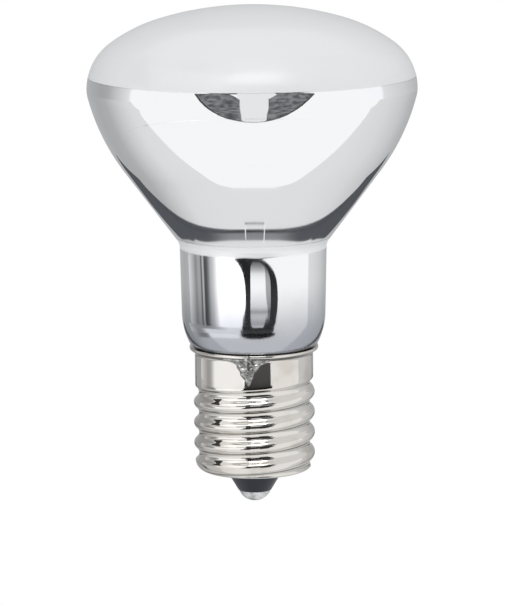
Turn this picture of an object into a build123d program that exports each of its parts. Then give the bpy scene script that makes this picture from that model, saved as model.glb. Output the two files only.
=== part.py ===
from build123d import *
from math import acos, cos, degrees, pi, radians, sin, sqrt, tan
import os

# Reflector lamp: a mirrored glass bowl with a frosted domed face on a small screw base.
# Millimetres. The axis is Z, the tip of the centre contact is at the origin and the face is up.

# Glass envelope
bulb_diameter = 44.45
equator_height = 56.63
shoulder_radius = 7.5
shoulder_angle = 53.9
face_mid_radius = 21.45
face_crown_angle = 73.4
under_shoulder_radius = 3.88
under_shoulder_angle = 14.3
bowl_radius = 28.73
bowl_angle = 36.67
neck_overhang = 0.98
neck_taper = 1.25
neck_fillet = 3.27
foot_turn = 27.0
foot_rise = 0.72
foot_tuck_radius = 2.5
waist_radius = 2.0

# Sealed end of the glass inside the base
seal_gap = 0.66
seal_depth = 9.0
seal_rim_radius = 0.9
stem_diameter = 5.6
stem_flare_depth = 4.0
press_rise = 0.1
exhaust_diameter = 2.8
exhaust_drop = 2.4

# Screw shell, pressed from thin sheet
sheet = 0.3
thread_crest_diameter = 16.5
thread_depth = 0.69
thread_pitch = 2.822
thread_crest_height = 9.58
skirt_inset = 0.2
skirt_foot_height = 17.2
skirt_length = 4.4
lip_overhang = 0.71
lip_bend_radius = 0.6
lip_drop = 1.15
lip_edge = 0.26
shell_bottom_height = 4.45
shell_roll_radius = 1.3
shell_roll_turn = 14.0
shell_bottom_flat = 0.55
notch_width = 0.5
notch_depth = 1.2

# Insulator, eyelet and the solder of the centre contact
insulator_depth = 2.2
insulator_cone_width = 1.75
insulator_tip_diameter = 4.5
insulator_tip_height = 1.5
insulator_bore_diameter = 1.6
fit_clearance = 0.05
solder_gap = 0.01
eyelet_diameter = 4.0
eyelet_thickness = 0.25
eyelet_barrel_length = 2.0
eyelet_wall = 0.3
contact_diameter = 4.36
solder_plug_length = 1.0

# Leads, cement and the side solder
lead_diameter = 0.3
lead_bend_radius = 0.45
side_lead_dip = 1.1
side_lead_reach = 0.57
side_lead_end = 1.8
cement_rise = 0.2
cement_drop = 0.26
side_angle = -95.5
side_solder_left = 3.7
side_solder_right = 3.9
side_solder_waist = 2.3
side_solder_waist_drop = 2.0
side_solder_foot_rise = 0.2
side_solder_thickness = 0.6


def at(centre, radius, angle):
    """Point at an angle above the horizontal on a circle in the half section."""
    return (centre[0] + radius * cos(radians(angle)), centre[1] + radius * sin(radians(angle)))


def seg(a, b):
    """Straight edge of the half section."""
    return Line((a[0], 0, a[1]), (b[0], 0, b[1]))


def bend(centre, radius, start, end):
    """Arc edge of the half section."""
    pts = [at(centre, radius, a) for a in (start, (start + end) / 2, end)]
    return ThreePointArc(*[(p[0], 0, p[1]) for p in pts])


def chain(points):
    """Straight edges through a list of points of the half section."""
    return [seg(a, b) for a, b in zip(points[:-1], points[1:])]


def turned(edges):
    """Solid of revolution of a closed half section."""
    return revolve(make_face(edges), Axis.Z, 360).solid()


def bar(radius, low, high):
    """Plain round bar on the axis."""
    return Pos(0, 0, (low + high) / 2) * Cylinder(radius, high - low)


def wire_along(points):
    """Round wire through a bent path in the half section."""
    path = FilletPolyline(*[(p[0], 0, p[1]) for p in points], radius=lead_bend_radius)
    return sweep(Plane(path @ 0, z_dir=path % 0) * Circle(lead_diameter / 2), path).solid()


crest_r = thread_crest_diameter / 2
root_r = crest_r - thread_depth
skirt_r = crest_r - skirt_inset
lip_r = skirt_r + lip_overhang
lip_height = skirt_foot_height + skirt_length
bulb_r = bulb_diameter / 2
neck_r = lip_r + neck_overhang
seal_r = root_r - sheet - seal_gap
seal_height = lip_height - seal_depth

# Face: crown, middle and shoulder arcs that run into each other without a kink.
shoulder_c = (bulb_r - shoulder_radius, equator_height)
mid_c = at(shoulder_c, shoulder_radius - face_mid_radius, shoulder_angle)
crown_radius = face_mid_radius + mid_c[0] / cos(radians(face_crown_angle))
crown_c = at(mid_c, face_mid_radius - crown_radius, face_crown_angle)
apex = (0, crown_c[1] + crown_radius)

# Foot of the neck: it tucks in past the lip and ends in a straight sealed end.
foot_end = (lip_r, lip_height + foot_rise)
foot_radius = neck_overhang / (cos(radians(neck_taper)) - cos(radians(foot_turn)))
foot_c = at(foot_end, -foot_radius, -foot_turn)
neck_foot = at(foot_c, foot_radius, -neck_taper)
tuck_c = at(foot_end, -foot_tuck_radius, -foot_turn)
tuck_turn = degrees(acos((seal_r + waist_radius - tuck_c[0]) / (foot_tuck_radius + waist_radius)))
waist_c = at(tuck_c, foot_tuck_radius + waist_radius, -tuck_turn)

# Bowl: a tight arc below the widest ring, a long arc, a cone and a fillet into the neck.
under_c = (bulb_r - under_shoulder_radius, equator_height)
bowl_c = at(under_c, under_shoulder_radius - bowl_radius, -under_shoulder_angle)
bowl_end = at(bowl_c, bowl_radius, -bowl_angle)
cone_dir = (-sin(radians(bowl_angle)), -cos(radians(bowl_angle)))
neck_dir = (sin(radians(neck_taper)), cos(radians(neck_taper)))
across = cone_dir[0] * neck_dir[1] - cone_dir[1] * neck_dir[0]
step_r = neck_foot[0] - bowl_end[0]
step_z = neck_foot[1] - bowl_end[1]
cone_length = (step_r * neck_dir[1] - step_z * neck_dir[0]) / across
corner = (bowl_end[0] + cone_length * cone_dir[0], bowl_end[1] + cone_length * cone_dir[1])
trim = neck_fillet * tan(radians((bowl_angle - neck_taper) / 2))
neck_top = (corner[0] - trim * neck_dir[0], corner[1] - trim * neck_dir[1])
cone_foot = (corner[0] - trim * cone_dir[0], corner[1] - trim * cone_dir[1])
fillet_c = at(neck_top, neck_fillet, -neck_taper)

# Re-entrant stem with the sealed exhaust tube on its axis.
rim_c = (seal_r - seal_rim_radius, seal_height + seal_rim_radius)
stem_r = stem_diameter / 2
press_height = lip_height + press_rise
exhaust_r = exhaust_diameter / 2
exhaust_tip = seal_height - exhaust_drop

glass_edges = [
    bend(crown_c, crown_radius, 90, face_crown_angle),
    bend(mid_c, face_mid_radius, face_crown_angle, shoulder_angle),
    bend(shoulder_c, shoulder_radius, shoulder_angle, 0),
    bend(under_c, under_shoulder_radius, 0, -under_shoulder_angle),
    bend(bowl_c, bowl_radius, -under_shoulder_angle, -bowl_angle),
    seg(bowl_end, cone_foot),
    bend(fillet_c, neck_fillet, 180 - bowl_angle, 180 - neck_taper),
    seg(neck_top, neck_foot),
    bend(foot_c, foot_radius, -neck_taper, -foot_turn),
    bend(tuck_c, foot_tuck_radius, -foot_turn, -tuck_turn),
    bend(waist_c, waist_radius, 180 - tuck_turn, 180),
    seg((seal_r, waist_c[1]), (seal_r, rim_c[1])),
    bend(rim_c, seal_rim_radius, 0, -180),
]
glass_edges += chain([
    at(rim_c, seal_rim_radius, -180),
    (stem_r, lip_height - stem_flare_depth),
    (stem_r, press_height),
    (exhaust_r, press_height),
    (exhaust_r, exhaust_tip + exhaust_r),
])
glass_edges.append(bend((0, exhaust_tip + exhaust_r), exhaust_r, 0, -90))
glass_edges.append(seg((0, exhaust_tip), apex))
glass_bulb = turned(glass_edges)


def wave_radius(u):
    """Radius of the rolled thread at a height u from a crest: tangent arcs at crest and root."""
    arc = (thread_pitch ** 2 / 4 + thread_depth ** 2) / (4 * thread_depth)
    a = abs((u + thread_pitch / 2) % thread_pitch - thread_pitch / 2)
    if a <= thread_pitch / 4:
        return crest_r - arc + sqrt(arc ** 2 - a ** 2)
    return root_r + arc - sqrt(arc ** 2 - (thread_pitch / 2 - a) ** 2)


def larger(a, b):
    """The larger of two radii, with a widely rounded corner."""
    return (a + b + sqrt((a - b) ** 2 + 0.04)) / 2


def smaller(a, b):
    """The smaller of two radii, with a closely rounded corner."""
    return (a + b - sqrt((a - b) ** 2 + 0.006)) / 2


roll_c = (skirt_r - shell_roll_radius, shell_bottom_height + shell_roll_radius)
roll_end = at(roll_c, shell_roll_radius, -shell_roll_turn)
hole_r = roll_c[0] - shell_bottom_flat


def shell_radius(turn, z):
    """Outside of the shell: a right-hand thread that rises out of the round bottom edge."""
    r = wave_radius(z - thread_crest_height - thread_pitch * turn)
    r = larger(r, skirt_r + (z - skirt_foot_height) / 0.9)
    if z < roll_end[1]:
        low = roll_c[0] + sqrt(shell_roll_radius ** 2 - (roll_c[1] - z) ** 2)
    else:
        low = roll_end[0] + (z - roll_end[1]) * tan(radians(shell_roll_turn))
    high = skirt_r + 0.35 * max(0, skirt_foot_height - 1 - z) ** 2
    return smaller(smaller(r, low), high)


def ring(z, radius_at):
    """Closed level section through evenly turned points."""
    pts = []
    for i in range(32):
        r = radius_at(i / 32)
        pts.append((r * cos(2 * pi * i / 32), r * sin(2 * pi * i / 32), z))
    return Edge.make_spline(pts, periodic=True)


lip_foot = lip_height - lip_drop
lip_c = (skirt_r + lip_bend_radius, lip_foot)
lip_under = (lip_r - 0.14, lip_height - 0.47)


def sheet_side(inset):
    """One side of the sheet as narrow bands, with its two end loops: roll, thread, skirt and lip."""
    plain = [at(roll_c, shell_roll_radius - inset, a) for a in (-90, -80, -70, -60, -50)]
    rings = [ring(p[1], lambda turn: p[0]) for p in plain]
    low = plain[-1][1]
    high = skirt_foot_height + 0.8
    count = round(18 * (high - low) / thread_pitch)
    for k in range(1, count + 1):
        z = low + (high - low) * k / count
        rings.append(ring(z, lambda turn: shell_radius(turn, z) - inset))
    plain = [at(lip_c, lip_bend_radius + inset, 180 - a) for a in (0, 12, 24, 36, 48, 60)]
    if inset:
        plain += [(lip_r - lip_edge - 0.15, lip_height - 0.2), (lip_r - lip_edge, lip_height)]
    else:
        plain += [lip_under, (lip_r - 0.03, lip_height - 0.36), (lip_r, lip_height - 0.24)]
        plain += [(lip_r, lip_height)]
    rings += [ring(p[1], lambda turn: p[0]) for p in plain]
    bands = [Face.make_surface_from_curves(a, b) for a, b in zip(rings[:-1], rings[1:])]
    return bands, Wire([rings[0]]), Wire([rings[-1]])


# The shell is closed from both sides of the sheet, the lip's edge and the holed bottom.
outside, outside_low, outside_high = sheet_side(0)
inside, inside_low, inside_high = sheet_side(sheet)
hole_low = Edge.make_circle(hole_r, Plane((0, 0, shell_bottom_height)))
hole_high = Edge.make_circle(hole_r, Plane((0, 0, shell_bottom_height + sheet)))
whole_shell = Solid(Shell(outside + inside + [
    Face(outside_high, [inside_high]),
    Face(outside_low, [Wire([hole_low])]),
    Face(inside_low, [Wire([hole_high])]),
    Face.make_surface_from_curves(hole_low, hole_high),
]))

# Side lead: out of the stem, round the sealed end, up beside it and out through a notch in the lip.
lead_stem_r = (stem_r + exhaust_r) / 2
lead_run_r = (seal_r + root_r - sheet) / 2
lead_exit = lip_height - notch_depth + lead_diameter
side_lead = Rot(0, 0, side_angle) * wire_along([
    (lead_stem_r, press_height),
    (lead_stem_r, seal_height - side_lead_dip),
    (lead_run_r, seal_height - side_lead_dip),
    (lead_run_r, lead_exit - 1.15),
    (skirt_r - sheet, lead_exit),
    (skirt_r + side_lead_reach, lead_exit),
    (skirt_r + side_lead_reach * 0.6, lead_exit - side_lead_end),
])
notch = Pos(skirt_r, 0, lip_height - notch_depth / 2 + 0.5) * Box(3, notch_width, notch_depth + 1)
notch = Rot(0, 0, side_angle) * notch
screw_shell = (whole_shell - notch).solid()

# Side solder: a fillet under the lip that runs down the skirt to a point.
solder_foot = skirt_foot_height + side_solder_foot_rise
solder_in = skirt_r + solder_gap
solder_bend = lip_bend_radius - solder_gap
solder_edge = (lip_under[0], lip_under[1] - 2 * solder_gap)
solder_band = turned([
    seg((solder_in, solder_foot), (solder_in, lip_foot)),
    bend(lip_c, solder_bend, 180, 120),
    seg(at(lip_c, solder_bend, 120), solder_edge),
    ThreePointArc(
        (solder_edge[0], 0, solder_edge[1]),
        (skirt_r + side_solder_thickness, 0, (solder_foot + 2 * lip_height) / 3),
        (solder_in, 0, solder_foot),
    ),
])
solder_waist_height = lip_height - side_solder_waist_drop
wedge_face = make_face(Polyline(
    (-side_solder_right, lip_height),
    (side_solder_left, lip_height),
    (side_solder_waist / 2, solder_waist_height),
    (0.3, solder_foot),
    (-0.3, solder_foot),
    (-side_solder_waist / 2, solder_waist_height),
    close=True,
))
wedge = Rot(0, 0, side_angle) * extrude(Plane.YZ * wedge_face, amount=lip_r + 1)
side_solder = ((solder_band & wedge) - side_lead).solid()

# Cement ring between the tucked foot of the glass and the skirt.
cement_low = skirt_foot_height + cement_rise
cement_high = lip_foot - cement_drop
cement_r = skirt_r - sheet - fit_clearance / 2
cement_core = bar(seal_r - 0.3, cement_low - 1, cement_high + 1)
base_cement = bar(cement_r, cement_low, cement_high) - cement_core - glass_bulb - side_lead
base_cement = base_cement.solid()

# Insulator: it sits on the rolled-in bottom of the shell and tapers down to the contact.
seat = shell_bottom_height + sheet
insulator_r = root_r - sheet - 2 * fit_clearance
spigot_r = hole_r - fit_clearance
tip_r = insulator_tip_diameter / 2
bore_r = insulator_bore_diameter / 2
insulator_top = seat + insulator_depth
insulator = turned(chain([
    (bore_r, insulator_top),
    (insulator_r, insulator_top),
    (insulator_r, seat + 0.3),
    (roll_c[0] - fit_clearance, seat),
    (spigot_r, seat),
    (spigot_r, shell_bottom_height),
    (tip_r + insulator_cone_width, shell_bottom_height),
    (tip_r, insulator_tip_height),
    (eyelet_diameter / 2, insulator_tip_height),
    (eyelet_diameter / 2, insulator_tip_height + eyelet_thickness),
    (bore_r, insulator_tip_height + eyelet_thickness),
    (bore_r, insulator_top),
]))

# Eyelet: a plate let into the tip of the insulator, with a barrel up its bore.
eyelet_bore = bore_r - eyelet_wall
barrel_top = insulator_tip_height + eyelet_thickness + eyelet_barrel_length
contact_eyelet = turned(chain([
    (eyelet_bore, insulator_tip_height),
    (eyelet_diameter / 2, insulator_tip_height),
    (eyelet_diameter / 2, insulator_tip_height + eyelet_thickness),
    (bore_r, insulator_tip_height + eyelet_thickness),
    (bore_r, barrel_top),
    (eyelet_bore, barrel_top),
    (eyelet_bore, insulator_tip_height),
]))

# Centre lead: out of the stem, past the exhaust tip and down the axis into the contact.
centre_lead = Rot(0, 0, side_angle + 180) * wire_along([
    (lead_stem_r, press_height),
    (lead_stem_r, exhaust_tip - lead_diameter),
    (0, (exhaust_tip + insulator_top) / 2),
    (0, insulator_tip_height / 2),
])

# Contact solder: a rounded cap under the eyelet with a plug up its barrel around the lead.
contact_r = contact_diameter / 2
cap_radius = (contact_r ** 2 + insulator_tip_height ** 2) / (2 * insulator_tip_height)
cap_angle = degrees(acos(contact_r / cap_radius))
plug_top = insulator_tip_height + solder_plug_length
contact_edges = [bend((0, cap_radius), cap_radius, -90, -cap_angle)]
contact_edges += chain([
    (contact_r, insulator_tip_height),
    (eyelet_bore, insulator_tip_height),
    (eyelet_bore, plug_top),
    (0, plug_top),
    (0, 0),
])
contact_solder = (turned(contact_edges) - centre_lead).solid()

nodes = {
    "glass_bulb": glass_bulb,
    "screw_shell": screw_shell,
    "base_cement": base_cement,
    "insulator": insulator,
    "contact_eyelet": contact_eyelet,
    "contact_solder": contact_solder,
    "centre_lead": centre_lead,
    "side_lead": side_lead,
    "side_solder": side_solder,
}
os.makedirs("parts", exist_ok=True)
for name, shape in nodes.items():
    export_step(shape, "parts/" + name + ".step")
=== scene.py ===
from math import acos, cos, pi, radians, sin, tan

import bmesh
import bpy
import numpy as np
from mathutils import Matrix, Vector


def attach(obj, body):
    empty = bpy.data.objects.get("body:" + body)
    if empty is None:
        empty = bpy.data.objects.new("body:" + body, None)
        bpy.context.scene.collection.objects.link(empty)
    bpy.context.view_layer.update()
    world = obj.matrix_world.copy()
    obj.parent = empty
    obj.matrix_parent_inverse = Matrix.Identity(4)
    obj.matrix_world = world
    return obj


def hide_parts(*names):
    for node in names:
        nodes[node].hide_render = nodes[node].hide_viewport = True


# Reflector lamp: a mirrored glass bowl with a frosted face on a nickel screw base.
# Shapes are worked out in millimetres in the frame of the solids and written in metres.

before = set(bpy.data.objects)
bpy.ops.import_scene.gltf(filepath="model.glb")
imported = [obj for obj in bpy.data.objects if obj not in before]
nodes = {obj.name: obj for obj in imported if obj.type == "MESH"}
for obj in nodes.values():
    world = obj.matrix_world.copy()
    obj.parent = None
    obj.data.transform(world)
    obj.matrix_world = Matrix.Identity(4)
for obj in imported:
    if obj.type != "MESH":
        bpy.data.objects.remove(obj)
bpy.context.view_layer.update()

MM = 0.001

# Glass envelope: the sizes of the part's source, with a tighter throat and foot
bulb_r = 22.225
equator_height = 56.63
shoulder_radius, shoulder_angle = 7.5, 53.9
face_mid_radius, face_crown_angle = 21.45, 73.4
under_shoulder_radius, under_shoulder_angle = 3.88, 14.3
bowl_radius, bowl_angle = 28.73, 36.67
neck_overhang, neck_taper, neck_fillet = 0.98, 1.25, 1.7
foot_turn, foot_rise, foot_tuck_radius, waist_radius = 27.0, 0.52, 1.7, 2.0
seal_r, seal_height, seal_rim_radius = 6.6, 12.6, 0.9
stem_r, stem_flare_height, press_height = 2.8, 17.6, 21.7
exhaust_r, exhaust_tip = 1.4, 10.2
silver_edge = 58.38

# Finish of the envelope by height: soft throat, mirror that dulls down the neck, and bare glass at the lip
# painted near black as shade, more at the sides than in front
throat_height, throat_reach, throat_core = 35.85, 0.92, 0.55
dull_top, dull_foot = 32.0, 23.0
bare_shade_top, bare_shade_foot, bare_shade_front, bare_shade_side = 22.25, 21.95, 4.0, 7.5

# Screw shell
sheet = 0.3
crest_r, root_r = 8.25, 7.56
thread_pitch, thread_crest_height = 2.822, 9.58
fade_slope, fade_soft, run_out, run_out_rise, run_out_soft = 0.9, 0.04, 1.0, 0.35, 0.006
groove_phase = 20.29
skirt_r, skirt_foot_height = 8.05, 17.2
lip_r, lip_height, lip_edge = 8.76, 21.6, 0.26
lip_bend_radius, lip_drop = 0.6, 1.15
shell_bottom, shell_roll_radius, shell_roll_turn = 4.45, 1.3, 14.0
hole_r = 6.2
notch_width, notch_depth = 0.5, 1.2
side_angle = -95.5

# Insulator, contact and side solder
insulator_tip_r, insulator_tip_height = 2.25, 1.5
insulator_cone_r, spigot_r, insulator_r = 4.0, 6.15, 7.16
insulator_seat, insulator_top, bore_r = 4.75, 6.95, 0.8
insulator_bevel_r, insulator_bevel, insulator_corner = 6.7, 0.3, 0.12
eyelet_r, eyelet_thickness = 2.0, 0.25
contact_r = 2.18
solder_foot, solder_left, solder_right = 17.4, 3.7, 3.9
solder_waist, solder_waist_height, solder_thickness = 2.3, 19.6, 0.6
bead_r, bead_drop, bead_half = 8.5, 0.42, (0.22, 0.6, 0.4)

# Camera at the photograph's angle
camera_place = (-0.15, -475.58, 108.47)
camera_pitch, camera_roll = 9.68, 0.42
focal_px, frame_px, sensor = 3554.97, 606.0, 36.0


# Shapes

def arc(centre, radius, start, end, count):
    """Points on a circle of the half section, from one angle above the horizontal to another."""
    a = np.radians(np.linspace(start, end, count))
    return np.stack([centre[0] + radius * np.cos(a), centre[1] + radius * np.sin(a)], -1)


def spot(centre, radius, angle):
    """One point on a circle of the half section."""
    return arc(centre, radius, angle, angle, 1)[0]


def run(a, b, count):
    """Evenly spaced points on a straight line of the half section, without its ends."""
    t = np.linspace(0, 1, count + 2)[1:-1, None]
    return np.asarray(a) * (1 - t) + np.asarray(b) * t


def round_corners(points, radius, count=5):
    """Closed half section with each corner cut back and bent on a parabola between the cuts."""
    p = np.asarray(points, float)
    back, on = np.roll(p, 1, 0) - p, np.roll(p, -1, 0) - p
    cut_back = np.minimum(radius, 0.45 * np.linalg.norm(back, axis=1))[:, None]
    cut_on = np.minimum(radius, 0.45 * np.linalg.norm(on, axis=1))[:, None]
    a = p + back / np.linalg.norm(back, axis=1)[:, None] * cut_back
    b = p + on / np.linalg.norm(on, axis=1)[:, None] * cut_on
    t = np.linspace(0, 1, count)[None, :, None]
    bent = a[:, None] * (1 - t) ** 2 + 2 * p[:, None] * t * (1 - t) + b[:, None] * t ** 2
    return bent.reshape(-1, 2)


def turned(profile, columns):
    """Grid of a surface of revolution: each profile point goes once round the axis."""
    a = np.linspace(0, 2 * pi, columns, endpoint=False)
    r, z = profile[:, :1], profile[:, 1:]
    return np.stack([r * np.cos(a), r * np.sin(a), z + 0 * a], -1)


def lumps(p, size, seed, octaves=3):
    """Smooth lumpiness from -1 to 1 at points p: sums of turned sine waves of shrinking size."""
    rng = np.random.default_rng(seed)
    total, weight = 0, 0
    for octave in range(octaves):
        for _ in range(5):
            d = rng.normal(size=3)
            d = d / np.linalg.norm(d) * 2 ** octave * 2 * pi / size
            total = total + np.sin(p @ d + rng.uniform(0, 2 * pi)) / 2 ** octave
        weight += 5 / 2 ** octave
    return total / weight * 2


def piece(name, grid, material, closed_rows=False, caps=False, crease=40):
    """Mesh piece from a grid of points in mm whose columns go round and close on themselves."""
    rows, columns = grid.shape[:2]
    i = np.arange(rows if closed_rows else rows - 1)[:, None]
    j = np.arange(columns)[None, :]
    low, high = i * columns, (i + 1) % rows * columns
    on = (j + 1) % columns
    quads = np.stack([low + j, low + on, high + on, high + j], -1).reshape(-1, 4)
    faces = quads.tolist()
    if caps:
        faces += [list(range(columns))[::-1], list(range((rows - 1) * columns, rows * columns))]
    mesh = bpy.data.meshes.new(name)
    mesh.from_pydata((grid.reshape(-1, 3) * MM).tolist(), [], faces)
    b = bmesh.new()
    b.from_mesh(mesh)
    bmesh.ops.remove_doubles(b, verts=b.verts, dist=1e-7)
    bmesh.ops.recalc_face_normals(b, faces=b.faces)
    b.to_mesh(mesh)
    b.free()
    mesh.polygons.foreach_set("use_smooth", np.ones(len(mesh.polygons), bool))
    mesh.set_sharp_from_angle(angle=radians(crease))
    made = bpy.data.objects.new(name, mesh)
    bpy.context.scene.collection.objects.link(made)
    mesh.materials.append(material)
    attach(made, "root")
    return made


def glass_profile():
    """Half section of the envelope from the crown to the exhaust tip, in arcs that run on smoothly."""
    shoulder_c = (bulb_r - shoulder_radius, equator_height)
    mid_c = spot(shoulder_c, shoulder_radius - face_mid_radius, shoulder_angle)
    crown_radius = face_mid_radius + mid_c[0] / cos(radians(face_crown_angle))
    crown_c = spot(mid_c, face_mid_radius - crown_radius, face_crown_angle)
    under_c = (bulb_r - under_shoulder_radius, equator_height)
    bowl_c = spot(under_c, under_shoulder_radius - bowl_radius, -under_shoulder_angle)
    bowl_end = spot(bowl_c, bowl_radius, -bowl_angle)
    foot_end = (lip_r, lip_height + foot_rise)
    foot_radius = neck_overhang / (cos(radians(neck_taper)) - cos(radians(foot_turn)))
    foot_c = spot(foot_end, -foot_radius, -foot_turn)
    neck_foot = spot(foot_c, foot_radius, -neck_taper)
    tuck_c = spot(foot_end, -foot_tuck_radius, -foot_turn)
    tuck_turn = np.degrees(acos((seal_r + waist_radius - tuck_c[0]) / (foot_tuck_radius + waist_radius)))
    waist_c = spot(tuck_c, foot_tuck_radius + waist_radius, -tuck_turn)
    cone_dir = np.array([-sin(radians(bowl_angle)), -cos(radians(bowl_angle))])
    neck_dir = np.array([sin(radians(neck_taper)), cos(radians(neck_taper))])
    step = neck_foot - bowl_end
    across = cone_dir[0] * neck_dir[1] - cone_dir[1] * neck_dir[0]
    corner = bowl_end + cone_dir * (step[0] * neck_dir[1] - step[1] * neck_dir[0]) / across
    trim = neck_fillet * tan(radians((bowl_angle - neck_taper) / 2))
    neck_top, cone_foot = corner - trim * neck_dir, corner - trim * cone_dir
    fillet_c = spot(neck_top, neck_fillet, -neck_taper)
    rim_c = (seal_r - seal_rim_radius, seal_height + seal_rim_radius)
    return np.concatenate([
        arc(crown_c, crown_radius, 90, face_crown_angle, 30),
        arc(mid_c, face_mid_radius, face_crown_angle, shoulder_angle, 24)[1:],
        arc(shoulder_c, shoulder_radius, shoulder_angle, 0, 48)[1:],
        arc(under_c, under_shoulder_radius, 0, -under_shoulder_angle, 14)[1:],
        arc(bowl_c, bowl_radius, -under_shoulder_angle, -bowl_angle, 60)[1:],
        run(bowl_end, cone_foot, 40),
        arc(fillet_c, neck_fillet, 180 - bowl_angle, 180 - neck_taper, 20),
        run(neck_top, neck_foot, 24),
        arc(foot_c, foot_radius, -neck_taper, -foot_turn, 24),
        arc(tuck_c, foot_tuck_radius, -foot_turn, -tuck_turn, 12)[1:],
        arc(waist_c, waist_radius, 180 - tuck_turn, 180, 10)[1:],
        [(seal_r, rim_c[1] + 0.5)],
        arc(rim_c, seal_rim_radius, 0, -180, 12),
        [(stem_r, stem_flare_height), (stem_r, press_height), (exhaust_r, press_height)],
        arc((0, exhaust_tip + exhaust_r), exhaust_r, 0, -90, 8),
    ])


def thread_radius(turn, z):
    """Outside of the shell: crest and root arcs along a right-hand helix, faded into roll and skirt."""
    depth = crest_r - root_r
    bend = (thread_pitch ** 2 / 4 + depth ** 2) / (4 * depth)
    u = (z - thread_crest_height - thread_pitch * turn + thread_pitch / 2) % thread_pitch
    u = np.abs(u - thread_pitch / 2)
    crest = crest_r - bend + np.sqrt(bend ** 2 - np.minimum(u, thread_pitch / 4) ** 2)
    root = root_r + bend - np.sqrt(bend ** 2 - np.minimum(thread_pitch / 2 - u, thread_pitch / 4) ** 2)
    r = np.where(u <= thread_pitch / 4, crest, root)
    fade = skirt_r + (z - skirt_foot_height) / fade_slope
    r = (r + fade + np.sqrt((r - fade) ** 2 + fade_soft)) / 2
    roll_r, roll_z = skirt_r - shell_roll_radius, shell_bottom + shell_roll_radius
    end_r, end_z = spot((roll_r, roll_z), shell_roll_radius, -shell_roll_turn)
    below = np.sqrt(np.maximum(0, shell_roll_radius ** 2 - (roll_z - np.minimum(z, end_z)) ** 2))
    low = np.where(z < end_z, roll_r + below, end_r + (z - end_z) * tan(radians(shell_roll_turn)))
    high = skirt_r + run_out_rise * np.maximum(0, skirt_foot_height - run_out - z) ** 2
    for limit in (low, high):
        r = (r + limit - np.sqrt((r - limit) ** 2 + run_out_soft)) / 2
    return r


def shell_grid(columns=360, thread_rows=150, inner_rows=60):
    """The pressed shell as one closed loop of rows: outside up from the hole, lip, inside down."""
    edge = radians(side_angle) + np.array([-1, 1]) * notch_width / 2 / lip_r
    a = np.linspace(0, 2 * pi, columns, endpoint=False)
    a = np.sort(np.concatenate([a, (edge + np.array([[-0.001], [0.001]])).ravel() % (2 * pi)]))
    turn = a / (2 * pi)
    roll_c = (skirt_r - shell_roll_radius, shell_bottom + shell_roll_radius)
    lip_c = (skirt_r + lip_bend_radius, lip_height - lip_drop)
    high = skirt_foot_height + 0.8

    def side(inset, rows):
        plain = arc(roll_c, shell_roll_radius - inset, -90, -50, 8)
        low = plain[-1, 1]
        z = np.linspace(low, high, rows + 1)[1:, None] + 0 * turn
        flare = arc(lip_c, lip_bend_radius + inset, 180, 120, 10)
        thread = np.stack([thread_radius(turn, z) - inset, z], -1)
        return plain, thread, flare

    def ring(points):
        return np.broadcast_to(np.asarray(points, float)[:, None], (len(points), len(a), 2))

    out_roll, out_thread, out_flare = side(0, thread_rows)
    in_roll, in_thread, in_flare = side(sheet, inner_rows)
    lip = [(lip_r - 0.14, lip_height - 0.47), (lip_r - 0.05, lip_height - 0.38),
           (lip_r - 0.012, lip_height - 0.3), (lip_r, lip_height - 0.22), (lip_r, lip_height - 0.1),
           (lip_r - 0.02, lip_height - 0.04), (lip_r - 0.07, lip_height),
           (lip_r - lip_edge + 0.06, lip_height), (lip_r - lip_edge, lip_height - 0.06),
           (lip_r - lip_edge - 0.15, lip_height - 0.2)]
    section = np.concatenate([
        ring([(hole_r, shell_bottom)]), ring(out_roll), out_thread, ring(out_flare), ring(lip),
        ring(in_flare[::-1]), in_thread[::-1], ring(in_roll[::-1]),
        ring([(hole_r, shell_bottom + sheet)]),
    ])
    gap = (a > edge[0] % (2 * pi)) & (a < edge[1] % (2 * pi))
    floor = lip_height - notch_depth
    sunk = section[:, gap]
    outside = sunk[..., 0] > np.interp(sunk[..., 1], [floor, lip_height], [skirt_r - sheet / 2, lip_r - 0.2])
    cut = sunk[..., 1] > floor
    sunk[..., 0] = np.where(cut, np.where(outside, skirt_r + 0.02, skirt_r - sheet), sunk[..., 0])
    sunk[..., 1] = np.where(cut, floor, sunk[..., 1])
    section[:, gap] = sunk
    r, z = section[..., 0], section[..., 1]
    return np.stack([r * np.cos(a), r * np.sin(a), z], -1)


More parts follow.
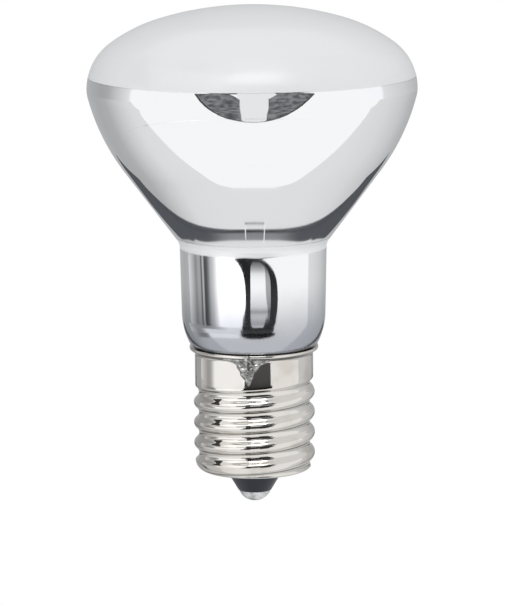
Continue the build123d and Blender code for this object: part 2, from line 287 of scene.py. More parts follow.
def solder_grid(rows=72, columns=48):
    """Side solder: a wedge that narrows fast down the skirt, rounded across and lumpy, closed behind."""
    v = np.linspace(0, 1, rows)[:, None]
    top = lip_height - 0.5
    z = solder_foot + (top - solder_foot) * v
    lip_c = (skirt_r + lip_bend_radius, lip_height - lip_drop)
    up = np.clip(z - lip_c[1], 0, lip_bend_radius * 0.86)
    seat = lip_c[0] - np.sqrt(lip_bend_radius ** 2 - up ** 2) + 0.012
    marks = [solder_foot, solder_foot + 0.5, solder_waist_height, solder_waist_height + 0.7, top - 0.3, top]
    left = np.interp(z, marks, [0.12, 0.38, 0.62 * solder_waist, 1.9, solder_left - 0.7, solder_left - 0.2])
    right = np.interp(z, marks, [0.12, 0.38, 0.48 * solder_waist, 1.75, solder_right - 0.8, solder_right - 0.3])
    half = columns // 2
    u = np.concatenate([np.linspace(-1, 1, half), np.linspace(1, -1, columns - half)])[None, :]
    front = np.concatenate([np.ones(half), np.zeros(columns - half)])[None, :]
    ragged = 1 + 0.07 * np.sin(9 * v + 1.5 * np.sign(u)) + 0.05 * np.sin(23 * v + u)
    across = np.where(u < 0, left, right) * u * np.where(np.abs(u) > 0.9, ragged, 1)
    crown = np.sqrt(np.clip(1 - u ** 2, 0, 1)) ** 0.8
    swell = 0.1 + (solder_thickness - 0.12) * np.sin(pi * np.clip(v, 0, 1) ** 0.8 * 0.86) ** 0.8
    room = lip_r - 0.1 - seat
    a = radians(side_angle) + across / skirt_r
    flat = np.stack([skirt_r * np.cos(a), skirt_r * np.sin(a), z + 0 * a], -1)
    rough = 1 + 0.38 * lumps(flat, 1.9, 4) + 0.2 * lumps(flat, 0.7, 9)
    thick = np.minimum(swell * crown * rough, room) * front
    r = seat + np.maximum(thick, 0.0)
    return np.stack([r * np.cos(a), r * np.sin(a), z + 0 * a], -1)


def bead_grid(rows=22, columns=32):
    """Bead of solder that fills the lip's notch round the wire."""
    b = np.linspace(-pi / 2, pi / 2, rows)[:, None]
    t = np.linspace(0, 2 * pi, columns, endpoint=False)[None, :]
    ball = np.stack([np.cos(b) * np.cos(t), np.cos(b) * np.sin(t), np.sin(b) + 0 * t], -1)
    ball = ball * (1 + 0.16 * lumps(ball, 1.6, 12)[..., None])
    deep, wide, tall = bead_half
    r = bead_r + deep * ball[..., 0]
    a = radians(side_angle) + wide * ball[..., 1] / skirt_r
    return np.stack([r * np.cos(a), r * np.sin(a), lip_height - bead_drop + tall * ball[..., 2]], -1)


def contact_grid():
    """Contact solder: a spherical cap with faint lumps, its flat top and the plug in the eyelet."""
    cap = (contact_r ** 2 + insulator_tip_height ** 2) / (2 * insulator_tip_height)
    edge = np.degrees(acos(contact_r / cap))
    profile = np.concatenate([
        arc((0, cap), cap, -90, -edge, 28),
        [(contact_r - 0.02, insulator_tip_height), (0.5, insulator_tip_height)],
        [(0.5, insulator_tip_height + 1), (0, insulator_tip_height + 1)],
    ])
    grid = turned(profile, 96)
    low = np.clip((insulator_tip_height - grid[..., 2:]) / insulator_tip_height, 0, 1)
    dent = 0.05 * low * (1 - low ** 6) * (lumps(grid, 2.4, 21) - 0.4)[..., None]
    return grid - dent * np.array([0.0, 0.0, -1.0]) * np.where(grid[..., 2:] > 0.03, 1, 0)


# Materials

class Wire:
    """A node's output in a Python expression: each operator adds a Math node."""

    def __init__(self, paint, socket):
        self.paint, self.socket = paint, socket

    def maths(self, operation, *values):
        return self.paint.node("ShaderNodeMath", {"operation": operation}, dict(enumerate(values)))

    def __add__(self, other): return self.maths("ADD", self, other)
    def __radd__(self, other): return self.maths("ADD", other, self)
    def __sub__(self, other): return self.maths("SUBTRACT", self, other)
    def __rsub__(self, other): return self.maths("SUBTRACT", other, self)
    def __mul__(self, other): return self.maths("MULTIPLY", self, other)
    def __rmul__(self, other): return self.maths("MULTIPLY", other, self)
    def __truediv__(self, other): return self.maths("DIVIDE", self, other)
    def __pow__(self, other): return self.maths("POWER", self, other)
    def __abs__(self): return self.maths("ABSOLUTE", self)


class Paint:
    """The nodes of one material, on the object's own coordinates, or of the world."""

    def __init__(self, tree):
        self.tree = tree
        tree.nodes.clear()

    def node(self, kind, settings=None, inputs=None, out=0):
        """A node with its settings, its sockets' values or links, and the output that is wanted."""
        n = self.tree.nodes.new(kind)
        for key, value in (settings or {}).items():
            if key == "stops":
                ramp = n.color_ramp.elements
                while len(ramp) < len(value):
                    ramp.new(0.5)
                for stop, (place, colour) in zip(ramp, value):
                    stop.position, stop.color = place, (*colour, 1)
            else:
                setattr(n, key, value)
        for key, value in (inputs or {}).items():
            if isinstance(value, Wire):
                self.tree.links.new(value.socket, n.inputs[key])
            else:
                n.inputs[key].default_value = value
        return Wire(self, n.outputs[out]) if len(n.outputs) else None

    def place(self):
        """The object's own coordinates in metres."""
        return self.node("ShaderNodeTexCoord", out="Object")

    def height(self):
        """Height on the lamp's axis in mm."""
        return self.node("ShaderNodeSeparateXYZ", None, {0: self.place()}, "Z") * 1000.0

    def across(self):
        """Distance to the right of the axis in metres."""
        return self.node("ShaderNodeSeparateXYZ", None, {0: self.place()}, "X")

    def deep(self):
        """Distance behind the axis in metres."""
        return self.node("ShaderNodeSeparateXYZ", None, {0: self.place()}, "Y")

    def cloud(self, size_mm, detail=2.0, roughness=0.5):
        """Even noise from 0 to 1 with features of about that size."""
        return self.node("ShaderNodeTexNoise", None, {
            "Vector": self.place(), "Scale": 1000.0 / size_mm, "Detail": detail, "Roughness": roughness,
        }, "Fac")

    def ease(self, value, start, end, low=0.0, high=1.0):
        """Smooth step of a value from low at start to high at end."""
        return self.node("ShaderNodeMapRange", {"interpolation_type": "SMOOTHSTEP"}, {
            "Value": value, "From Min": start, "From Max": end, "To Min": low, "To Max": high,
        })

    def blend(self, factor, a, b):
        """Colour mix."""
        return self.node("ShaderNodeMix", {"data_type": "RGBA"}, {0: factor, 6: a, 7: b}, 2)

    def bump(self, height, strength, distance_mm):
        """Normal of a surface that rises with a value."""
        return self.node("ShaderNodeBump", None, {
            "Height": height, "Strength": strength, "Distance": distance_mm * MM,
        })

    def finish(self, **inputs):
        """Principled surface of the material, with its sockets by name."""
        named = {key.replace("_", " "): value for key, value in inputs.items()}
        shader = self.node("ShaderNodeBsdfPrincipled", None, named)
        self.node("ShaderNodeOutputMaterial", None, {"Surface": shader})

    def shine(self, colour):
        """Surface of the material that only gives light of a colour."""
        light = self.node("ShaderNodeEmission", None, {"Color": colour, "Strength": 1.0})
        self.node("ShaderNodeOutputMaterial", None, {"Surface": light})


def new_material(name):
    """A material without nodes, and the paint that adds them."""
    material = bpy.data.materials.new(name)
    material.use_nodes = True
    return material, Paint(material.node_tree)


def tint(r, g, b):
    """Opaque colour."""
    return (r, g, b, 1.0)


def coated_glass():
    """Mirror on bowl and neck that dulls towards the base, soft in the throat, fine frost on the face, and bare
    glass at the lip painted near black as shade, more at the sides.
    """
    material, p = new_material("mirrored_and_frosted_glass")
    z = p.height()
    edge = z + (p.cloud(1.2) - 0.5) * 0.08
    silver = p.ease(edge, silver_edge - 0.05, silver_edge + 0.05, 1.0, 0.0)
    line = p.ease(edge, silver_edge - 0.16, silver_edge - 0.02) * silver
    mist = p.cloud(16.0, 1.0)
    frost = p.blend(mist, tint(0.765, 0.775, 0.79), tint(0.81, 0.818, 0.828))
    mirror = p.blend(p.cloud(9.0), tint(0.90, 0.905, 0.915), tint(0.93, 0.935, 0.94))
    mirror = p.blend(line * 0.35, mirror, tint(0.45, 0.46, 0.48))
    dull = p.ease(z + (p.cloud(2.5) - 0.5) * 1.2, dull_top, dull_foot)
    mirror = p.blend(dull, mirror, tint(0.46, 0.475, 0.51))
    throat = p.ease(abs(z - throat_height), throat_reach, throat_core)
    # Painted shade: the bare glass at the lip is painted near black, fully at the sides and a quarter as much in
    # front
    side_shade = p.ease(abs(p.across()) * 1000.0, bare_shade_front, bare_shade_side, 0.25, 1.0)
    bare_glass_shade = p.ease(z + (p.cloud(0.8) - 0.5) * 0.5, bare_shade_top, bare_shade_foot) * side_shade
    # The near-black colour here is painted shade
    mirror = p.blend(bare_glass_shade, mirror, tint(0.05, 0.048, 0.045))
    grain = p.cloud(0.12, 1.0)
    gloss = 0.025 + 0.02 * p.cloud(6.0) + 0.1 * dull ** 3.0 + 0.4 * throat
    p.finish(
        Base_Color=p.blend(silver, frost, mirror),
        Metallic=silver - bare_glass_shade * 0.6 - throat * 0.6,
        Roughness=(1 - silver) * 0.42 + silver * gloss,
        Coat_Weight=(1 - silver) * 0.5,
        Coat_Roughness=0.14,
        Normal=p.bump(grain * (1 - silver), 0.08, 0.02),
    )
    return material


def nickel_plate():
    """Bright nickel with rolling scratches, warm tarnish, and painted shade under the lip and along the thread's
    groove.
    """
    material, p = new_material("nickel_plate")
    z = p.height()
    turn = p.node("ShaderNodeMath", {"operation": "ARCTAN2"}, {0: p.deep(), 1: p.across()}) / (2 * pi)
    rub = p.node("ShaderNodeTexNoise", None, {
        "Vector": p.node("ShaderNodeMapping", None, {"Vector": p.place(), "Scale": (60.0, 60.0, 2600.0)}),
        "Scale": 1.0, "Detail": 3.0,
    }, "Fac")
    stain = p.ease(p.cloud(4.0, 3.0), 0.45, 0.7)
    colour = p.blend(stain, tint(0.75, 0.725, 0.69), tint(0.64, 0.605, 0.555))
    below = (z - thread_crest_height) / thread_pitch - turn + groove_phase
    below = below.maths("FRACT", below)
    # Painted shade: a dark line along the thread's groove below the skirt, and a dark ring under the lip
    seam = p.ease(abs(below - 0.5), 0.44, 0.485) * p.ease(z, 16.6, 16.0) * (0.4 + 0.55 * p.cloud(2.2))
    ledge_shade = p.ease(abs(z - (lip_height - 0.6)), 0.30, 0.14) * (0.85 + 0.15 * p.cloud(1.5))
    thread_and_ledge_shade = seam.maths("MAXIMUM", seam, ledge_shade)
    p.finish(
        # The dark colour here is the painted shade
        Base_Color=p.blend(thread_and_ledge_shade, colour, tint(0.10, 0.095, 0.085)),
        Metallic=1.0,
        Roughness=0.03 + 0.04 * rub + 0.04 * stain,
        Normal=p.bump(rub, 0.03, 0.02),
    )
    return material


def solder_metal(name, pale, dull, grain=0.6):
    """Tin solder: dull grey skin with bright worn spots and a grain, with painted shade towards the lamp's very
    tip.
    """
    material, p = new_material(name)
    skin = p.ease(p.cloud(grain, 4.0, 0.6), 0.35, 0.65)
    # Painted shade: darker towards the bottom of the contact at the lamp's very tip
    tip_shade = p.ease(p.height() + (p.cloud(0.9) - 0.5) * 0.3, 0.5, 0.1)
    p.finish(
        Base_Color=p.blend(tip_shade * 0.75, p.blend(skin, dull, pale), tint(0.16, 0.16, 0.17)),
        Metallic=1.0,
        Roughness=0.42 - 0.2 * skin,
        Normal=p.bump(p.cloud(0.35, 4.0, 0.6), 0.4, 0.12),
    )
    return material


def black_glass():
    """Blue-black pressed glass: glossy, with faint flow marks."""
    material, p = new_material("black_glass")
    flow = p.cloud(1.1, 3.0)
    p.finish(
        Base_Color=p.blend(flow, tint(0.006, 0.007, 0.012), tint(0.020, 0.024, 0.040)),
        Roughness=0.16 + 0.18 * flow,
        Specular_IOR_Level=0.35,
        Normal=p.bump(flow, 0.15, 0.1),
    )
    return material


def drawn_wire():
    """Nickel-iron wire, satin with a darker oxide."""
    material, p = new_material("drawn_wire")
    skin = p.cloud(0.5, 3.0)
    p.finish(
        Base_Color=p.blend(skin, tint(0.07, 0.065, 0.06), tint(0.22, 0.21, 0.20)),
        Metallic=1.0,
        Roughness=0.25 + 0.2 * skin,
    )
    return material


def eyelet_brass():
    """Stamped brass with a dull bloom."""
    material, p = new_material("eyelet_brass")
    bloom = p.cloud(0.8, 3.0)
    p.finish(
        Base_Color=p.blend(bloom, tint(0.72, 0.52, 0.24), tint(0.60, 0.42, 0.20)),
        Metallic=1.0,
        Roughness=0.22 + 0.18 * bloom,
    )
    return material


def baked_cement():
    """Baked resin cement: matt tan with dark specks and fine pores."""
    material, p = new_material("baked_cement")
    speck = p.ease(p.cloud(0.25, 3.0), 0.55, 0.7)
    p.finish(
        Base_Color=p.blend(speck, tint(0.36, 0.27, 0.19), tint(0.20, 0.14, 0.09)),
        Roughness=0.85 - 0.1 * speck,
        Normal=p.bump(p.cloud(0.2, 4.0), 0.5, 0.1),
    )
    return material


# Pieces

glass = coated_glass()
nickel = nickel_plate()
side_tin = solder_metal("side_tin", tint(0.60, 0.60, 0.58), tint(0.15, 0.15, 0.145))
tip_tin = solder_metal("tip_tin", tint(0.88, 0.88, 0.88), tint(0.42, 0.42, 0.43), 1.3)
dark_glass = black_glass()
wire = drawn_wire()

envelope = piece("glass_envelope", turned(glass_profile(), 288), glass)
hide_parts("glass_bulb")

shell = piece("threaded_shell", shell_grid(), nickel, closed_rows=True)
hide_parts("screw_shell")

cone = round_corners([
    (bore_r, insulator_top), (insulator_r, insulator_top), (insulator_r, insulator_seat + insulator_bevel),
    (insulator_bevel_r, insulator_seat), (spigot_r, insulator_seat), (spigot_r, shell_bottom),
    (insulator_cone_r, shell_bottom), (insulator_tip_r, insulator_tip_height),
    (eyelet_r, insulator_tip_height), (eyelet_r, insulator_tip_height + eyelet_thickness),
    (bore_r, insulator_tip_height + eyelet_thickness),
], insulator_corner)
insulator = piece("glass_insulator", turned(cone, 160), dark_glass, closed_rows=True)
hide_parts("insulator")

contact = piece("contact_dome", contact_grid(), tip_tin)
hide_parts("contact_solder")

fillet = piece("side_solder_fillet", solder_grid(), side_tin, caps=True, crease=60)
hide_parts("side_solder")
piece("notch_bead", bead_grid(), side_tin, crease=80)

kept = {
    "base_cement": baked_cement(),
    "contact_eyelet": eyelet_brass(),
    "centre_lead": wire,
    "side_lead": wire,
}
for name, material in kept.items():
    nodes[name].data.materials.clear()
    nodes[name].data.materials.append(material)


# Studio: white surround, cards that only reflections see, soft lamps and a pale floor

def glow(name, near, far=None, along=(0.0, 1.0, 0.0), start=0.0, end=1.0):
    """Card colour, plain or changing from near to far along a direction and its opposite, in metres."""
    material, p = new_material(name)
    colour = tint(*near)
    if far is not None:
        reach = p.node("ShaderNodeVectorMath", {"operation": "DOT_PRODUCT"}, {0: p.place(), 1: along}, 1)
        colour = p.blend(p.ease(abs(reach), start, end), tint(*near), tint(*far))
    p.shine(colour)
    return material


def reflected_only(mesh):
    """Studio object that only reflections see."""
    made = bpy.data.objects.new(mesh.name, mesh)
    bpy.context.scene.collection.objects.link(made)
    made.visible_camera = made.visible_diffuse = False
    made.visible_transmission = made.visible_shadow = False
    return made


def backdrop(name, left_stops, right_stops):
    """Card colour by how far round behind the lamp a point lies, on its left and on its right."""
    material, p = new_material(name)
    lamp_middle = (0, 0, 0.04)
    aim = p.node("ShaderNodeVectorMath", {"operation": "SUBTRACT"}, {0: p.place(), 1: lamp_middle})
    aim = p.node("ShaderNodeVectorMath", {"operation": "NORMALIZE"}, {0: aim})
    back = p.node("ShaderNodeSeparateXYZ", None, {0: aim}, "Y") * 0.5 + 0.5
    x = p.node("ShaderNodeSeparateXYZ", None, {0: aim}, "X")
    sides = []
    for stops in (left_stops, right_stops):
        ramp = [(t / 2 + 0.5, (v * 0.985, v, v * 1.015)) for t, v in stops]
        sides.append(p.node("ShaderNodeValToRGB", {"stops": ramp}, {0: back}))
    p.shine(p.blend(p.ease(x, -0.15, 0.15), *sides))
    return material


def graded(name, kind, stops):
    """Card colour in stops by the turn to the right from straight in front in degrees, or by height in mm."""
    material, p = new_material(name)
    if kind == "turn":
        front = p.deep() * -1.0
        value = front.maths("ARCTAN2", p.across(), front) * (180 / pi)
    else:
        value = p.height()
    low, high = stops[0][0], stops[-1][0]
    ramp = [((t - low) / (high - low), (v, v * 1.005, v * 1.02)) for t, v in stops]
    p.shine(p.node("ShaderNodeValToRGB", {"stops": ramp}, {0: (value - low) / (high - low)}))
    return material


def smooth(points, count=10):
    """Smooth curve through points."""
    p = np.asarray(points, float)
    q = np.concatenate([2 * p[:1] - p[1:2], p, 2 * p[-1:] - p[-2:-1]])
    a, b, c, d = (q[i:len(q) - 3 + i, None] for i in range(4))
    t = np.linspace(0, 1, count, endpoint=False)[None, :, None]
    curve = b + ((c - a) * t + (2 * a - 5 * b + 4 * c - d) * t ** 2 + (3 * b - a - 3 * c + d) * t ** 3) / 2
    return np.concatenate([curve.reshape(-1, p.shape[1]), p[-1:]])


def strip(name, lines, material):
    """Studio card through lines of points in mm with equally many points."""
    grid = np.asarray(lines, float)
    rows, columns = grid.shape[:2]
    i = np.arange(rows - 1)[:, None] * columns + np.arange(columns - 1)[None, :]
    mesh = bpy.data.meshes.new(name)
    faces = np.stack([i, i + 1, i + columns + 1, i + columns], -1).reshape(-1, 4)
    mesh.from_pydata((grid.reshape(-1, 3) * MM).tolist(), [], faces.tolist())
    mesh.materials.append(material)
    return reflected_only(mesh)


def level(line, height):
    """Points of a plan at one height."""
    line = np.asarray(line, float)
    return np.concatenate([line, np.full((len(line), 1), height)], -1)


def upright(line, distance):
    """Points (x, z) stood up at a distance in front of the lamp."""
    line = np.asarray(line, float)
    return np.stack([line[:, 0], np.full(len(line), -distance), line[:, 1]], -1)


def around(one, other, radius, height, count):
    """Points on a level arc between two turns from straight in front."""
    a = np.radians(np.linspace(one, other, count))
    return level(radius * np.stack([np.sin(a), -np.cos(a)], -1), height)


def mirrored(heights):
    """Lines of sight that the bowl mirrors at heights over turns: a card along them shows it only its edge."""
    turns = [0, 10, 20, 30, 40, 45, 50, 55, 60, 64]
    outline = glass_profile()
    under = np.arange(len(outline)) > 100
    bowl = outline[under & (outline[:, 1] > 24.0) & (outline[:, 0] > 9.0)][::-1]
    a = np.radians(np.linspace(-turns[-1], turns[-1], 257))
    z = np.interp(np.abs(np.degrees(a)), turns, heights)
    r = np.interp(z, bowl[:, 1], bowl[:, 0])
    lean = np.interp(z, bowl[:, 1], np.gradient(bowl[:, 0], bowl[:, 1]))
    at = np.stack([r * np.sin(a), -r * np.cos(a), z], -1)
    out = np.stack([np.sin(a), -np.cos(a), -lean], -1)
    out /= np.linalg.norm(out, axis=1)[:, None]
    sight = at - np.array(camera_place)
    sight /= np.linalg.norm(sight, axis=1)[:, None]
    return at, sight - 2 * np.sum(sight * out, 1)[:, None] * out


def funnel(name, sight, rows, material, drop=0.0, soft=4):
    """Card along mirrored lines of sight: rows of height, left and right turn, lowered by a little drop."""
    at, way = sight
    lines = []
    z_row, left_row, right_row = smooth(rows, soft)[::-1].T
    for z in np.linspace(z_row[-1], z_row[0], 80):
        want = np.linspace(np.interp(z, z_row, left_row), np.interp(z, z_row, right_row), 40)
        p = at + way * ((z - at[:, 2]) / way[:, 2])[:, None]
        turn = np.degrees(np.arctan2(p[:, 0], -p[:, 1]))
        lines.append(np.stack([np.interp(want, turn, p[:, k]) for k in range(3)], -1) - [0, 0, drop])
    return strip(name, lines, material)


floor_level, opening_distance, bow_level = -60.0, 200, -20

# Behind and below: a grey sweep whose front edge lies just before the lamp
edge = smooth([
    (-4270, 160), (-600, 4), (-330, -8), (-237.7, -9.8), (-196.5, -18.6), (-164.5, -25.5), (-136.2, -30),
    (-110, -31.9), (-86.7, -32.7), (-64.5, -32), (-50, -29.4), (-40, -27.8), (-33, -27.9), (-25.1, -29.7),
    (-13.3, -32.5), (-0.3, -33.7), (12.7, -32.6), (24.5, -29.7), (35.4, -26.8), (45.9, -25.6), (56.8, -26.6),
    (67.1, -27.7), (88.7, -27.6), (112.4, -24.9), (137.5, -20.7), (166.1, -14.1), (201.1, -3.8), (222.6, 4),
    (260, 15), (340, 32), (1000, 150), (3417, 680),
])
ground = backdrop(
    "ground_grey",
    [(-0.4, 0.80), (0.0, 0.77), (0.10, 0.75), (0.30, 0.63), (0.55, 0.45), (0.75, 0.42), (0.95, 0.46),
     (1.0, 0.48)],
    [(-0.4, 0.80), (0.0, 0.775), (0.35, 0.72), (0.65, 0.61), (0.85, 0.49), (1.0, 0.43)],
)
strip("ground_card", [level(edge, floor_level), level(edge * [1, 0] + [0, 3000], floor_level)], ground)
wall = backdrop(
    "wall_grey",
    [(0.02, 1.0), (0.06, 0.80), (0.15, 0.71), (0.30, 0.58), (0.45, 0.43), (0.60, 0.39), (0.85, 0.43),
     (1.0, 0.47)],
    [(0.17, 1.0), (0.22, 0.78), (0.35, 0.73), (0.65, 0.635), (0.85, 0.53), (1.0, 0.46)],
)
sweep = np.radians(np.linspace(-3, 183, 40))
sweep = 1000 * np.stack([np.cos(sweep), np.sin(sweep)], -1)
strip("wall_card", [level(sweep, floor_level), level(sweep, 900)], wall)

# In front: a dark opening in two halves with a darker rim along its foot
opening, p = new_material("opening_dark")
mottle = p.ease(p.cloud(22.0, 3.0), 0.3, 0.7)
p.shine(p.blend(mottle, tint(0.085, 0.09, 0.10), tint(0.27, 0.27, 0.28)))
rim = glow("opening_rim", (0.03, 0.03, 0.035))
for name, foot, top, inside in (
    ("left", [
        (-163, 127), (-153, 107), (-145, 88), (-138, 71), (-131, 56), (-124, 42), (-118, 26), (-113, 2),
        (-108, -21), (-103, -45), (-99, -70), (-93, -83.2), (-85, -85.1), (-77, -86.8), (-69, -88.3),
        (-60, -89.5), (-50, -90.4), (-39, -91.2), (-28, -92.4),
    ], [(-163, 128), (-60, 128), (-36, 97), (-28, 80)], (6, 2.5)),
    ("right", [
        (37, -93.5), (43, -92.7), (53, -92), (61, -91.1), (70, -89.9), (78, -88.6), (87, -87), (95, -85.1),
        (103, -80.3), (108, -53.6), (113, -28), (119, -3), (125, 22), (133, 40), (141, 54), (150, 68),
        (159, 84), (170, 101), (182, 120),
    ], [(37, 84), (50, 100), (64, 128), (182, 128)], (-6, 2.5)),
):
    foot = np.array(foot, float)
    head = np.stack([foot[:, 0], np.interp(foot[:, 0], *np.transpose(top))], -1)
    strip("opening_" + name, [upright(line, opening_distance) for line in (foot, head)], opening)
    strip("rim_" + name, [upright(line, opening_distance - 1) for line in (foot, foot + inside)], rim)
foot = np.array([(-28, -92.4), (0, -94), (37, -93.5)])
strip("rim_middle", [upright(line, opening_distance - 1) for line in (foot, foot + [0, 1.8])], rim)
gap = [(-30, -91), (40, -92)], [(-36, 128), (56, 128)]
strip("gap_grey", [upright(line, opening_distance + 1) for line in gap], glow("gap_grey", (0.85, 0.85, 0.86)))

# Under the throat: a thin dark bow with a darker edge, two light lines across it, a line and a dash before it
x = np.linspace(-72, 72, 145)[:, None]
u = x ** 2 / 1000
outer = np.concatenate([x, -21.15 + 11.6 * u + 0.55 * u ** 2 + 0.25 * u ** 3], 1)
x, u = x * 0.7, u * 0.7 ** 2
inner = np.concatenate([x, -19.5 + 12.0 * u + 1.35 * u ** 2 + 0.3 * u ** 3], 1)
end = np.array([(73, 92), (75, 98), (77.5, 107), (80, 117), (87, 150), (95, 190)])
outer = np.concatenate([end[::-1] * [-1, 1], outer, end])
end = np.array([(54.4, 41), (55.6, 47), (56.9, 57), (57.8, 70), (58.4, 100), (62, 180)])
inner = np.concatenate([end[::-1] * [-1, 1], inner, end])
seam = outer * 0.7 + inner * 0.3
strip("bow", [level(outer, bow_level), level(inner, bow_level)],
      glow("bow_dark", (0.25, 0.255, 0.265), (0.09, 0.095, 0.105), (1, 0, 0), 0.018, 0.042))
strip("bow_edge", [level(outer, bow_level + 0.1), level(seam, bow_level + 0.1)],
      glow("bow_edge", (0.022, 0.023, 0.028), (0.08, 0.085, 0.095), (1, 0, 0), 0.012, 0.035))
pale = glow("pale_line", (0.9, 0.9, 0.9))
near = outer[np.abs(outer[:, 0]) < 46]
strip("bow_line", [level(near - [0, before], bow_level) for before in (0.05, 0.3)], pale)
near = outer[np.abs(outer[:, 0] - 1.2) < 9.2]
dash = glow("dash_grey", (0.30, 0.30, 0.31))
strip("bow_dash", [level(near - [0, before], bow_level) for before in (0.75, 1.05)], dash)
for x, back in ((-6.6, -19.1), (9.8, -17.8)):
    ends = [[(x - 0.4, y), (x + 0.4, y)] for y in (-21.2, back)]
    strip("bow_cross", [level(line, bow_level + 0.2) for line in ends], pale)

# Before the neck, edge-on to the bowl: a dark doorway, a window and a side screen
sight = mirrored([55.06, 54.98, 54.77, 54.35, 53.7, 53.21, 52.58, 51.74, 50.54, 49.3])
funnel("door", sight, [
    (25.1, -36, 3), (24.8, -36, 8), (24.3, -36, 14.5), (23.8, -36, 19.4), (22.4, -36, 28), (20.2, -36, 34),
    (17, -36, 36.2), (13.8, -36, 35.8), (11.2, -36, 33.4), (8, -36, 32), (1, -36, 31), (-10, -36, 29),
], glow("door_dark", (0.045, 0.045, 0.05), (0.02, 0.02, 0.023), (0, 0, 1), 0.015, 0.022))
frame_white = glow("frame_white", (1.0, 1.0, 1.0))
funnel("door_frame", sight, [(25.6, -10, 46), (-10, -10, 46)], frame_white, -0.05, 1)
window_light = [
    (-10, 0.60), (5, 0.75), (9.5, 0.60), (10.8, 0.40), (11.6, 0.62), (12.1, 0.80), (12.8, 0.72), (13.4, 0.28),
    (13.9, 0.55), (14.4, 0.78), (15.8, 0.88), (17.2, 0.96), (18.6, 1.02), (20.4, 0.96), (21.5, 0.82),
    (22.4, 0.45), (23.2, 0.25), (24, 0.14),
]
funnel("window", sight, [
    (24, -1, 9), (23.3, -3.6, 14.5), (22.6, -4.2, 16.5), (20, -4.4, 17.6), (17.9, -4.4, 18), (15.5, -4.6, 19.5),
    (14, -4.7, 21), (12.4, -4.7, 20.5), (11.5, -4.4, 17), (8, -3.5, 15.5), (1, -2, 14), (-10, 0, 12),
], graded("window", "height", window_light), 0.05)
funnel("window_side", sight, [
    (23.2, 10, 16), (22.4, 10, 20), (21, 10, 23.4), (20, 10, 24.6), (17.9, 10, 25.3), (14.75, 10, 25.3),
    (11.8, 10, 23.6),
], graded("window_side", "height", [(z, v * 0.42) for z, v in window_light]), 0.03)
funnel("side_screen", sight, [
    (25.1, -116, -34), (24.5, -116, -27), (23.6, -116, -21.4), (21.6, -116, -15), (18.6, -116, -12),
    (15.7, -116, -11.6), (14, -116, -12.5), (12.6, -116, -14.5), (11.2, -116, -16.5), (1, -116, -18),
    (-10, -116, -18.5),
], graded("side_screen", "turn", [
    (-116, 0.72), (-104, 0.46), (-97, 0.27), (-90, 0.40), (-87, 0.36), (-84.5, 0.08), (-81, 0.55), (-78, 0.08),
    (-74, 0.10), (-70.5, 0.23), (-67, 0.46), (-62, 0.62), (-57, 0.95), (-52, 1.45), (0, 1.45),
]), 0.05)

# Before the base, edge-on to the bowl as well: a dark doorway, and side screens that the neck's foot, the skirt
# and the thread show in turn
sight = mirrored([48.64, 48.53, 48.15, 47.42, 46.13, 44.55, 42.14, 39.62, 37.02, 35.5])
funnel("base_door", sight, [
    (18.6, -16, 28.5), (11.7, -15, 28), (11.1, -19, 32), (7.5, -19, 31), (4.5, -17, 27), (2, -12, 19), (0, -5, 8),
], graded("base_dark", "height", [
    (-4, 0.012), (10.8, 0.012), (11.5, 0.06), (13.5, 0.09), (16, 0.05), (18.6, 0.03),
]), 0.0, 1)
for name, rows, shades in (
    ("foot_screen", [(18.6, -116, -17), (15.7, -116, -17)], [
        (-116, 0.70), (-97, 0.45), (-70, 0.40), (-58, 0.55), (-46, 0.85), (-35, 1.15), (0, 1.15),
    ]),
    ("skirt_screen", [(15.6, -116, -19), (10.4, -116, -19)], [
        (-116, 0.80), (-101, 0.55), (-92, 0.40), (-84, 0.48), (-79, 0.80), (-74, 1.15), (0, 1.15),
    ]),
    ("thread_screen", [(10.2, -116, -22), (2, -116, -22)], [
        (-116, 0.62), (-101, 0.50), (-95, 0.34), (-80, 0.30), (-75, 0.55), (-71, 1.35), (0, 1.35),
    ]),
):
    funnel(name, sight, rows, graded(name, "turn", shades), 0.05, 1)

# Above, too high for the bowl to see: grey sides that the thread's upper flanks show
low, middle, upper, top = (500, 215), (345, 290), (230, 380), (130, 440)
for name, one, other, foot, head, shade in (
    ("high_white", -76, -20, low, upper, 1.4), ("high_left", -90, -17, upper, top, 0.35),
    ("high_door", -20, 38, low, middle, 0.02), ("high_right", 38, 135, low, top, 0.82),
):
    strip(name, [around(one, other, *place, 40) for place in (foot, head)], glow(name, (shade, shade, shade)))
strip("high_dark", [
    around(-100, -75, 500, 215, 12), around(-107, -81, 400, 285, 12),
    around(-121, -95, 330, 330, 12), around(-147, -120, 300, 370, 12),
], glow("high_dark", (0.05, 0.05, 0.05)))

# Above: a bright panel whose glow lies softly on the frosted face
strip("high_panel", [upright([(-130, 330), (130, 330)], 330), upright([(-130, 440), (130, 440)], 210)],
      glow("high_panel", (3.9, 3.9, 3.9)))

world = bpy.data.worlds.new("studio")
bpy.context.scene.world = world
world.use_nodes = True
sky = Paint(world.node_tree)
seen = sky.node("ShaderNodeLightPath", out="Is Camera Ray")
seen = seen + sky.node("ShaderNodeLightPath", out="Is Glossy Ray")
seen = seen + sky.node("ShaderNodeLightPath", out="Is Transmission Ray")
ambient = 0.82
strength = sky.node("ShaderNodeMapRange", None, {"Value": seen, "To Min": ambient, "To Max": 1.0})
surround = sky.node("ShaderNodeBackground", None, {"Color": tint(1.0, 1.0, 1.0), "Strength": strength})
sky.node("ShaderNodeOutputWorld", None, {"Surface": surround})

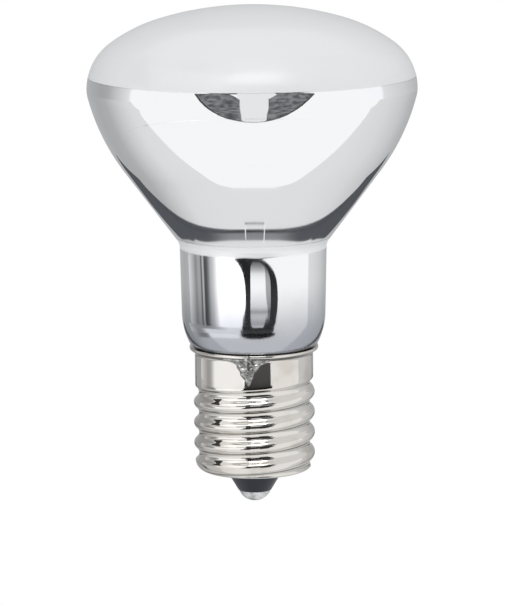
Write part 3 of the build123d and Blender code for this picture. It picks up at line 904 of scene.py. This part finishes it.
floor_mesh = bpy.data.meshes.new("floor")
span, cloth_r, white_r = 6.0, 0.10, 0.17
floor_mesh.from_pydata(
    [(x * span, y * span, floor_level * MM) for x, y in ((-1, -1), (1, -1), (1, 1), (-1, 1))],
    [], [(0, 1, 2, 3)],
)
floor_paint, p = new_material("pale_floor")
distance = p.node("ShaderNodeVectorMath", {"operation": "LENGTH"}, {0: p.place()}, 1)
far = p.ease(distance, cloth_r, white_r)
cloth = p.node("ShaderNodeBsdfDiffuse", None, {"Color": tint(0.92, 0.92, 0.92)})
white = p.node("ShaderNodeEmission", None, {"Color": tint(1, 1, 1), "Strength": 1.0})
p.node("ShaderNodeOutputMaterial", None, {
    "Surface": p.node("ShaderNodeMixShader", None, {0: far, 1: cloth, 2: white}),
})
floor_mesh.materials.append(floor_paint)
floor = bpy.data.objects.new("floor", floor_mesh)
bpy.context.scene.collection.objects.link(floor)
floor.visible_glossy = False
floor.visible_diffuse = False


def softbox(name, place_mm, aim_mm, size_mm, power):
    """Square area lamp aimed at a point."""
    lamp = bpy.data.lights.new(name, "AREA")
    lamp.size = size_mm * MM
    lamp.energy = power
    made = bpy.data.objects.new(name, lamp)
    made.location = [x * MM for x in place_mm]
    aim = np.asarray(aim_mm) - np.asarray(place_mm)
    made.rotation_euler = Vector(aim).to_track_quat("-Z", "Y").to_euler()
    bpy.context.scene.collection.objects.link(made)
    made.visible_glossy = False
    return made


softbox("top_softbox", (0, -60, 700), (0, 0, 40), 600, 0.4)
softbox("front_softbox", (-60, -600, 300), (0, 0, 35), 400, 0.5)

lens = bpy.data.cameras.new("camera")
lens.sensor_width = sensor
lens.lens = focal_px / frame_px * sensor
lens.clip_start, lens.clip_end = 0.01, 50.0
camera = bpy.data.objects.new("camera", lens)
bpy.context.scene.collection.objects.link(camera)
camera.matrix_world = (
    Matrix.Translation([x * MM for x in camera_place])
    @ Matrix.Rotation(radians(90 - camera_pitch), 4, "X")
    @ Matrix.Rotation(radians(-camera_roll), 4, "Z")
)
bpy.context.scene.camera = camera
bpy.context.scene.view_settings.view_transform = "Standard"
